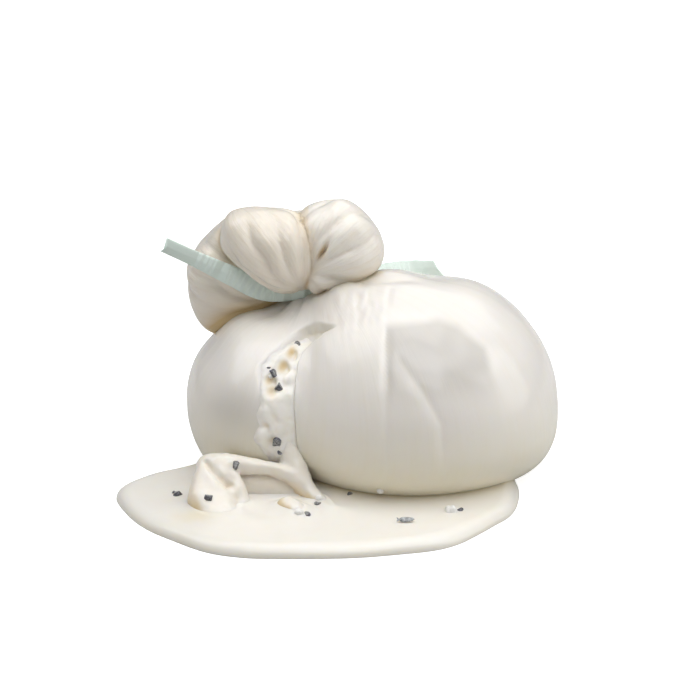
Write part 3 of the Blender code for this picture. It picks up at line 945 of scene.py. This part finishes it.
def strip_path():
    """(place, direction of the width) along the strip, from the end of its left tail."""
    side = (Vector((1, 0, 0)) - NECK_AXIS * NECK_AXIS.x).normalized()
    back = NECK_AXIS.cross(side)
    radius = NECK_RADIUS + STRIP_GAP + STRIP_THICKNESS / 2
    wound = []
    for k in range(WIND_STEPS + 1):
        share = k / WIND_STEPS
        angle = WIND_FROM + (WIND_TO - WIND_FROM) * share
        out = side * math.cos(angle) + back * math.sin(angle)
        place = Vector(NECK) + out * radius + NECK_AXIS * WIND_DROP * (0.5 - share)
        wound.append((*place, *NECK_AXIS))
    left = [(*(Vector(place) * MM), *across) for place, across in reversed(LEFT_TAIL)]
    right = [(*(Vector(place) * MM), *across) for place, across in RIGHT_TAIL]
    first, last = wound[: WIND_STRIDE + 1 : WIND_STRIDE], wound[-WIND_STRIDE - 1 :: WIND_STRIDE]
    start = smooth_row(left + first, TAIL_STEPS)[: len(left) * TAIL_STEPS]
    end = smooth_row(last + right, TAIL_STEPS)[TAIL_STEPS + 1 :]
    return [(Vector(row[:3]), Vector(row[3:])) for row in (*start, *wound, *end)]


def strip_spread(from_left, on_right):
    """How much wider the strip is than on the neck, by how many points of its tails are passed."""
    left = smooth_step(from_left, 0.6, 2.4) - smooth_step(from_left, 3.2, 4.2)
    return 1 + 0.35 * left * (on_right < 0) + 0.25 * smooth_step(on_right, 2, 4)


def strip_rings():
    """The strip's cross-section at each step of its path, crinkled a little, with a notch at each end."""
    path = strip_path()
    right_start = len(path) - len(RIGHT_TAIL) * TAIL_STEPS
    rings = []
    for k, (place, across) in enumerate(path):
        along = (path[min(k + 1, len(path) - 1)][0] - path[max(k - 1, 0)][0]).normalized()
        face = along.cross(across).normalized()
        width = face.cross(along).normalized()
        crinkle = 1.0 if k > right_start else 0.10
        spread = strip_spread(k / TAIL_STEPS, (k - right_start) / TAIL_STEPS)
        from_end = min(k, len(path) - 1 - k) / TAIL_STEPS
        notched = NOTCH * max(1 - from_end, 0) * (1 if k < len(path) / 2 else -1)
        ring = []
        for w, t in STRIP_SECTION:
            point = place + width * (w * spread * STRIP_WIDTH / 2) + face * (t * STRIP_THICKNESS / 2)
            wave = noise.noise(point / STRIP_CRINKLE) * STRIP_CRINKLE_HEIGHT * crinkle
            slant = -SLANT * w * max(1 - from_end, 0) * (k > right_start)
            ring.append(point + face * wave + along * (notched * (1 - abs(w)) + slant))
        rings.append(ring)
    return rings


def strip_form():
    """The strip, drawn out of its first cross-section step by step."""
    rings = strip_rings()
    bm = bmesh.new()
    face = bm.faces.new([bm.verts.new(point) for point in rings[0]])
    layer = bm.verts.layers.float_vector.new("pull")
    for k, ring in enumerate(rings[1:]):
        drawn = bmesh.ops.extrude_face_region(bm, geom=[face])["geom"]
        face = next(f for f in drawn if isinstance(f, bmesh.types.BMFace))
        for vert, point, (w, t) in zip(face.verts, ring, STRIP_SECTION):
            vert.co = point
            vert[layer] = (4.5 * w, 1.5 * t, 12 * k / len(rings))
    return bm


# --- cracked pepper and pale chips ---

# Grains of pepper, and pale chips: (x, y, z), radius. Each settles on the surface behind it.
PEPPER = (
    ((-18.5, -17.0, 36.4), 0.75), ((-24.3, -23.5, 30.9), 1.05), ((-22.7, -26.0, 28.4), 1.2),
    ((-23.5, -30.0, 15.7), 1.3), ((-33.0, -34.0, 11.2), 1.05), ((-47.3, -33.4, 3.4), 1.2),
    ((-39.2, -39.6, 5.4), 1.2), ((-13.5, -38.4, 3.4), 0.9), ((-15.9, -45.7, 3.4), 0.95),
    ((-5.8, -32.7, 3.4), 0.7), ((20.3, -43.1, 3.4), 0.95), ((-22.6, -31.0, 13.4), 0.6),
    ((-25.3, -23.0, 32.2), 0.5), ((-48.2, -32.2, 3.4), 0.6),
)
CHIPS = (
    ((-13.2, -35.6, 3.6), 0.9), ((-17.8, -44.6, 3.4), 1.1), ((1.5, -29.4, 3.4), 0.9),
    ((18.2, -43.9, 3.4), 1.6), ((-24.9, -23.8, 30.2), 0.55),
)
SLIVER = (7.0, -51.0, 3.4)  # a curled flake of pepper skin with a split end
SLIVER_SIZE = (2.4, 0.72, 0.30)  # half its length, width and thickness
FACETS, BREAK_STEP = 4, 0.12
SPRINKLE = Vector((0, 0.951, -0.309))  # the way the grains are thrown at the burrata
THROW = 15 * MM  # how far before its place each grain sets out


def settle(ground, place, sink):
    """Where a grain thrown through `place` lands, `sink` below the surface, and the way up from there."""
    found, normal, *_ = ground.ray_cast(Vector(place) * MM - SPRINKLE * THROW, SPRINKLE)
    return found - normal * sink, normal


def cracked_grain(radius, seed, flatness, broken):
    """A grain broken along planes, the first at the share `broken` of its radius.

    The broken faces have the second finish.
    """
    bm = bmesh.new()
    bmesh.ops.create_icosphere(bm, subdivisions=3, radius=radius)
    for vert in bm.verts:
        dent = noise.noise(vert.co / (0.55 * radius) + Vector((seed, 0, 0)))
        vert.co *= 1 + 0.22 * dent
    for k in range(FACETS):
        way = noise.random_unit_vector()
        for face in cut_off(bm, way * radius * (broken + BREAK_STEP * k), way):
            face.material_index = 1
    bmesh.ops.scale(bm, verts=bm.verts, vec=(1, 1, flatness))
    return bm


def grains_form(ground, grains, seed, flatness, broken):
    noise.seed_set(seed)
    forms = []
    for k, (place, radius) in enumerate(grains):
        bm = cracked_grain(radius * MM, seed + 3 * k, flatness, broken)
        stand_on(bm, *settle(ground, place, 0.15 * radius * MM))
        forms.append(bm)
    return joined(forms)


def sliver_form(ground):
    """The curled flake: a flattened ball, drawn out, bent, and split at one end."""
    bm = bmesh.new()
    bmesh.ops.create_uvsphere(bm, u_segments=32, v_segments=16, radius=1)
    for vert in bm.verts:
        x, y, z = vert.co
        waist = 1 - 0.72 * hump(x + 0.52, 0.16)
        flare = 1 + 1.3 * max(-x - 0.6, 0)
        split = 0.35 * max(-x - 0.55, 0) * (1 - abs(y)) * 2
        long, wide, thick = SLIVER_SIZE
        bend = 0.18 * x * x
        vert.co = Vector(((x + split) * long, y * wide * waist * flare, z * thick + bend)) * MM
    spot, up = settle(ground, SLIVER, -0.6 * MM)
    stand_on(bm, spot, up + Vector((0, -0.7, 0)))
    return bm


# --- finishes ---


def feed(node, inputs):
    """Sets each input of a node to a value, or joins it to another node's output."""
    for name, value in inputs.items():
        if isinstance(value, bpy.types.NodeSocket):
            node.id_data.links.new(value, node.inputs[name])
        else:
            node.inputs[name].default_value = value


def add_node(tree, kind, inputs=None, **settings):
    """The outputs of a new shader node."""
    node = tree.nodes.new("ShaderNode" + kind)
    for name, value in settings.items():
        setattr(node, name, value)
    feed(node, inputs or {})
    return node.outputs


def noise_of(tree, place, scale, detail, roughness=0.5):
    inputs = {"Vector": place, "Scale": scale, "Detail": detail, "Roughness": roughness}
    return add_node(tree, "TexNoise", inputs)["Fac"]


def ranged(tree, value, start, end, low, high):
    """A value brought from the range between `start` and `end` to the one between `low` and `high`."""
    inputs = {"Value": value, "From Min": start, "From Max": end, "To Min": low, "To Max": high}
    return add_node(tree, "MapRange", inputs)["Result"]


def mixed(tree, share, first, second):
    """A mix of two colours."""
    return add_node(tree, "Mix", {"Factor": share, 6: first, 7: second}, data_type="RGBA")[2]


def worked(tree, operation, *values, **settings):
    """The result of a sum, such as ADD, on values that change over the surface."""
    return add_node(tree, "Math", dict(enumerate(values)), operation=operation, **settings)["Value"]


def bumped(tree, height, strength, distance):
    inputs = {"Height": height, "Strength": strength, "Distance": distance}
    return add_node(tree, "Bump", inputs)["Normal"]


def own_place(tree):
    return add_node(tree, "TexCoord")["Object"]


def noted(tree, name):
    """What a piece's mesh stores under a name."""
    return add_node(tree, "Attribute", attribute_name=name)


def new_group(name, inputs, outputs):
    """An empty shader node group with named sockets: (name, kind, default) in, (name, kind) out."""
    group = bpy.data.node_groups.new(name, "ShaderNodeTree")
    for socket, kind, default in inputs:
        made = group.interface.new_socket(socket, in_out="INPUT", socket_type="NodeSocket" + kind)
        if default is not None:
            made.default_value = default
    for socket, kind in outputs:
        group.interface.new_socket(socket, in_out="OUTPUT", socket_type="NodeSocket" + kind)
    return group, group.nodes.new("NodeGroupInput").outputs, group.nodes.new("NodeGroupOutput")


def pulled_fibres_group():
    """Fine lines along the way the curd was stretched, and a faint waviness of the surface."""
    group, given, made = new_group(
        "pulled fibres",
        (("Pull", "Vector", None), ("Place", "Vector", None), ("Strength", "Float", 1.0)),
        (("Height", "Float"), ("Streak", "Float")),
    )
    lines = noise_of(group, given["Pull"], 1.6, 4.0, 0.6)
    broad = noise_of(group, given["Place"], 130.0, 3.0)
    strong = worked(group, "MULTIPLY", lines, given["Strength"])
    feed(made, {"Height": worked(group, "MULTIPLY_ADD", broad, 0.5, strong), "Streak": lines})
    return group


def milk_tint_group():
    """The colour of fresh curd: slightly cloudy and streaked towards a warmer tint, with painted shade in
    that warm tint where a piece notes it.
    """
    plain_milk = (0.9, 0.87, 0.8, 1)
    group, given, made = new_group(
        "milk tint",
        (
            ("Milk", "Color", plain_milk), ("Tone And Shade Tint", "Color", (0.8, 0.72, 0.5, 1)), ("Hollow", "Float", 0.0),
            ("Streak", "Float", 0.5), ("Place", "Vector", None), ("Patch Colour", "Color", plain_milk),
            ("Patch", "Float", 0.0),
        ),
        (("Color", "Color"), ("Cloud", "Float")),
    )
    milk = mixed(group, given["Patch"], given["Milk"], given["Patch Colour"])
    cloud = noise_of(group, given["Place"], 55.0, 3.0, 0.55)
    soft = ranged(group, cloud, 0.35, 0.75, 0.0, 0.10)
    line = ranged(group, given["Streak"], 0.45, 0.7, 0.0, 0.08)
    warm = worked(group, "ADD", worked(group, "ADD", soft, line), given["Hollow"], use_clamp=True)
    feed(made, {"Color": mixed(group, warm, milk, given["Tone And Shade Tint"]), "Cloud": cloud})
    return group


def new_finish(name):
    """A new material, its nodes and its shader."""
    finish = bpy.data.materials.new(name)
    finish.use_nodes = True
    return finish, finish.node_tree, finish.node_tree.nodes["Principled BSDF"]


MILK_DEPTH = {"Subsurface Weight": 0.35, "Subsurface Radius": (1.0, 0.8, 0.5), "Subsurface Scale": 2.5 * MM}
STRIP_DEPTH = {"Subsurface Weight": 0.25, "Subsurface Radius": (0.8, 1.0, 0.9), "Subsurface Scale": 1.0 * MM}
WETNESS = {"Coat Roughness": 0.14, "IOR": 1.42}


def wet_milk(groups, name, milk, tone_and_shade_tint, roughness, coat, bump, fibres, patch_colour=None):
    """Fresh curd or cream, milky all through, with a wet sheen.

    The patch colour shows where a piece notes a patch: painted reflection and shade on the pouch's skin, and
    the skin's own colour at the margin of the curd in the tear.
    """
    fibres_group, tint_group = groups
    finish, tree, shader = new_finish(name)
    feed(shader, MILK_DEPTH | WETNESS | {"Coat Weight": coat})
    place = own_place(tree)
    inputs = {"Pull": noted(tree, "pull")["Vector"], "Place": place, "Strength": fibres}
    lines = add_node(tree, "Group", inputs, node_tree=fibres_group)
    # The tone and shade tint is the warm colour that clouds and streaks drift towards a little, and that
    # painted shade takes in full.
    inputs = {"Milk": (*milk, 1), "Tone And Shade Tint": (*tone_and_shade_tint, 1), "Hollow": noted(tree, "hollow")["Fac"]}
    inputs |= {"Streak": lines["Streak"], "Place": place}
    if patch_colour:
        inputs |= {"Patch Colour": (*patch_colour, 1), "Patch": noted(tree, "patch")["Fac"]}
    tint = add_node(tree, "Group", inputs, node_tree=tint_group)
    matt = ranged(tree, tint["Cloud"], 0.3, 0.7, roughness - 0.06, roughness + 0.08)
    relief = bumped(tree, lines["Height"], 1.0, bump)
    feed(shader, {"Base Color": tint["Color"], "Roughness": matt, "Normal": relief})
    return finish


def mint_strip():
    """The strip's satin plastic, with faint lengthwise streaks."""
    finish, tree, shader = new_finish("mint strip")
    feed(shader, STRIP_DEPTH)
    streaks = noise_of(tree, noted(tree, "pull")["Vector"], 1.0, 3.0)
    clouds = noise_of(tree, own_place(tree), 160.0, 2.0)
    colour = mixed(tree, clouds, (0.72, 0.88, 0.79, 1), (0.83, 0.95, 0.88, 1))
    rough = ranged(tree, streaks, 0, 1, 0.32, 0.5)
    feed(shader, {"Base Color": colour, "Roughness": rough, "Normal": bumped(tree, streaks, 0.5, 0.12 * MM)})
    return finish


def pepper_finish(name, dark, light, grain, roughness):
    """Speckled dark skin, broken pepper or a pale chip."""
    finish, tree, shader = new_finish(name)
    specks = noise_of(tree, own_place(tree), 1 / grain, 4.0, 0.65)
    colour = mixed(tree, ranged(tree, specks, 0.35, 0.65, 0, 1), (*dark, 1), (*light, 1))
    rough = ranged(tree, specks, 0, 1, roughness - 0.12, roughness + 0.12)
    feed(shader, {"Base Color": colour, "Roughness": rough, "Normal": bumped(tree, specks, 0.8, 0.12 * MM)})
    return finish


# --- floor, light and camera ---

ROOM = 0.20  # brightness of the white room all round
FLOOR_GREY, FLOOR_GLOW = (0.62, 0.62, 0.62, 1), 0.8
# Softboxes: name, place, width and depth in metres, brightness
SOFTBOXES = (
    ("overhead softbox", (0.0, 0.15, 0.85), (0.45, 0.45), 1.6),
    ("top softbox", (0.14, -0.10, 0.80), (0.55, 0.55), 1.2),
    ("back softbox", (0.22, 0.50, 0.72), (0.75, 0.75), 0.9),
    ("front softbox", (0.0, -0.40, 0.74), (0.55, 0.5), 2.05),
    ("left softbox", (-0.45, 0.10, 0.70), (0.5, 0.5), 2.0),
    ("upper right softbox", (0.50, -0.05, 0.65), (0.5, 0.5), 1.35),
    ("right softbox", (0.85, 0.0, 0.35), (0.6, 0.6), 1.4),
)


def floor():
    """A pale floor that the camera sees as white, and that lights the burrata as grey card would."""
    bm = bmesh.new()
    bmesh.ops.create_circle(bm, cap_ends=True, segments=96, radius=6)
    stage = stand("floor", bm)
    finish, tree, shader = new_finish("white floor")
    seen = add_node(tree, "LightPath")["Is Camera Ray"]
    glow = worked(tree, "MULTIPLY", seen, FLOOR_GLOW)
    feed(shader, {"Base Color": FLOOR_GREY, "Roughness": 0.9})
    feed(shader, {"Emission Color": (1, 1, 1, 1), "Emission Strength": glow})
    stage.data.materials.append(finish)


def studio():
    world = bpy.data.worlds.new("studio")
    bpy.context.scene.world = world
    world.use_nodes = True
    feed(world.node_tree.nodes["Background"], {"Color": (1.0, 0.995, 0.985, 1), "Strength": ROOM})


def softboxes():
    for name, place, (width, depth), brightness in SOFTBOXES:
        light = bpy.data.lights.new(name, "AREA")
        light.shape = "RECTANGLE"
        light.size, light.size_y = width, depth
        light.energy = math.pi * width * depth * brightness
        box = bpy.data.objects.new(name, light)
        box.location = place
        box.rotation_euler = Vector(place).to_track_quat("Z", "Y").to_euler()
        bpy.context.scene.collection.objects.link(box)


def camera():
    lens = bpy.data.cameras.new("camera")
    lens.lens, lens.sensor_width = LENS, SENSOR
    seen_from = bpy.data.objects.new("camera", lens)
    back = Vector((0, -math.cos(VIEW_HEIGHT), math.sin(VIEW_HEIGHT)))
    seen_from.location = VIEW_AIM + back * VIEW_DISTANCE
    seen_from.rotation_euler = back.to_track_quat("Z", "Y").to_euler()
    bpy.context.scene.collection.objects.link(seen_from)
    bpy.context.scene.camera = seen_from


# --- the pieces of the burrata ---

# The pouch's milk, and the darker colour of its painted dull patch: painted reflection on the large lobe,
# painted shade on the left lobe's front
SKIN_MILK, PAINTED_DULL_MILK = (0.87, 0.837, 0.80), (0.64, 0.612, 0.578)
CURD_LOOK = {"roughness": 0.34, "coat": 0.5, "bump": 0.2 * MM, "fibres": 0.2}


def surface_of(pieces):
    """One searchable surface of several pieces, for what settles on them."""
    bm = bmesh.new()
    for piece in pieces:
        bm.from_mesh(piece.data)
    tree = BVHTree.FromBMesh(bm)
    bm.free()
    return tree


def milky_piece(name, form, slot, node, finish, pull, sunken, tone_and_shade_tint, patch=None):
    """A piece of curd or cream, with what its finish reads at each point.

    `sunken` says how many times the level around is averaged, and how far below it counts as a full hollow of
    painted shade.
    """
    piece = finish_piece(name, form, [finish], [node])
    points, normals = mesh_points(piece.data), mesh_normals(piece.data)
    note(piece.data, "pull", pull(points))
    note_hollows(piece.data, *sunken, tone_and_shade_tint(points, normals))
    if patch:
        note(piece.data, "patch", np.clip(patch(points), 0, 1))
    return piece


def make_skin(groups):
    look = {"roughness": 0.36, "coat": 0.65, "bump": 0.075 * MM, "fibres": 1.0, "patch_colour": PAINTED_DULL_MILK}
    # the skin's milk, and the warm tint of its painted shade
    finish = wet_milk(groups, "pouch skin", SKIN_MILK, (0.77, 0.71, 0.50), **look)
    sunken = 10, 0.7 * MM
    return milky_piece("skin", skin_form(), "skin", "pouch", finish, skin_pull, sunken, skin_painted_shade, painted_dull_patch)


def make_topknot(groups):
    look = {"roughness": 0.38, "coat": 0.6, "bump": 0.18 * MM, "fibres": 1.6}
    # the topknot's curd, and the yellow-brown of its painted shade
    finish = wet_milk(groups, "topknot curd", (0.905, 0.872, 0.812), (0.62, 0.45, 0.22), **look)
    sunken = 16, 1.2 * MM
    return milky_piece("topknot", topknot_form(), "skin", "pouch", finish, knot_pull, sunken, knot_painted_shade)


def make_tear_curd(groups):
    # the curd, and the warm tint of the painted shade in its pockets
    colours = (0.97, 0.93, 0.87), (0.80, 0.62, 0.35)
    finish = wet_milk(groups, "curd in the tear", *colours, **CURD_LOOK, patch_colour=SKIN_MILK)
    pull, sunken = every(2 * MM), (16, 0.6 * MM)
    form = tear_curd_form()
    notes = pull, sunken, pocket_painted_shade, tear_margin
    return milky_piece("tear_curd", form, "filling", "filling", finish, *notes)


def make_fallen_curd(groups):
    # the curd, and the warm tint of its painted shade and painted shadow
    finish = wet_milk(groups, "fallen curd", (0.88, 0.84, 0.775), (0.78, 0.61, 0.34), **CURD_LOOK)
    pull, sunken = every(3 * MM), (16, 1.4 * MM)
    form = fallen_curd_form()
    return milky_piece("fallen_curd", form, "filling", "filling", finish, pull, sunken, fallen_curd_painted_shade)


def make_cream(groups):
    look = {"roughness": 0.35, "coat": 0.6, "bump": 0.08 * MM, "fibres": 0.0}
    # the cream, and the warm tint of its painted shade and painted shadow
    finish = wet_milk(groups, "cream", (0.90, 0.87, 0.815), (0.86, 0.75, 0.52), **look)
    pull, sunken = every(6 * MM), (4, 1.5 * MM)
    return milky_piece("cream", pool_form(), "cream", "cream_pool", finish, pull, sunken, cream_painted_shade)


def make_sprinkles(ground):
    """The pepper, the pale chips and the flake, settled on what lies in front of them."""
    # The pepper skin's grey specks are painted glints on its dark skin.
    black = pepper_finish("pepper skin", (0.012, 0.012, 0.015), (0.20, 0.20, 0.23), 0.45 * MM, 0.34)
    heart = pepper_finish("pepper heart", (0.07, 0.07, 0.07), (0.42, 0.42, 0.42), 0.35 * MM, 0.5)
    pale = pepper_finish("pale chip", (0.86, 0.85, 0.81), (0.97, 0.96, 0.94), 0.6 * MM, 0.35)
    grey = pepper_finish("pepper flake", (0.16, 0.17, 0.18), (0.60, 0.62, 0.63), 0.8 * MM, 0.30)
    finish_piece("pepper", grains_form(ground, PEPPER, 5, 0.9, 0.45), [black, heart])
    finish_piece("chips", grains_form(ground, CHIPS, 11, 1.0, 0.8), [pale, pale])
    finish_piece("pepper_sliver", sliver_form(ground), [grey])


def main():
    bpy.context.scene.view_settings.view_transform = "Standard"
    floor()
    studio()
    softboxes()
    camera()
    groups = pulled_fibres_group(), milk_tint_group()
    skin = make_skin(groups)
    make_topknot(groups)
    below = [make(groups) for make in (make_tear_curd, make_fallen_curd, make_cream)]
    finish_piece("strip", strip_form(), [mint_strip()], ["tie"])
    make_sprinkles(surface_of([skin, *below]))


main()
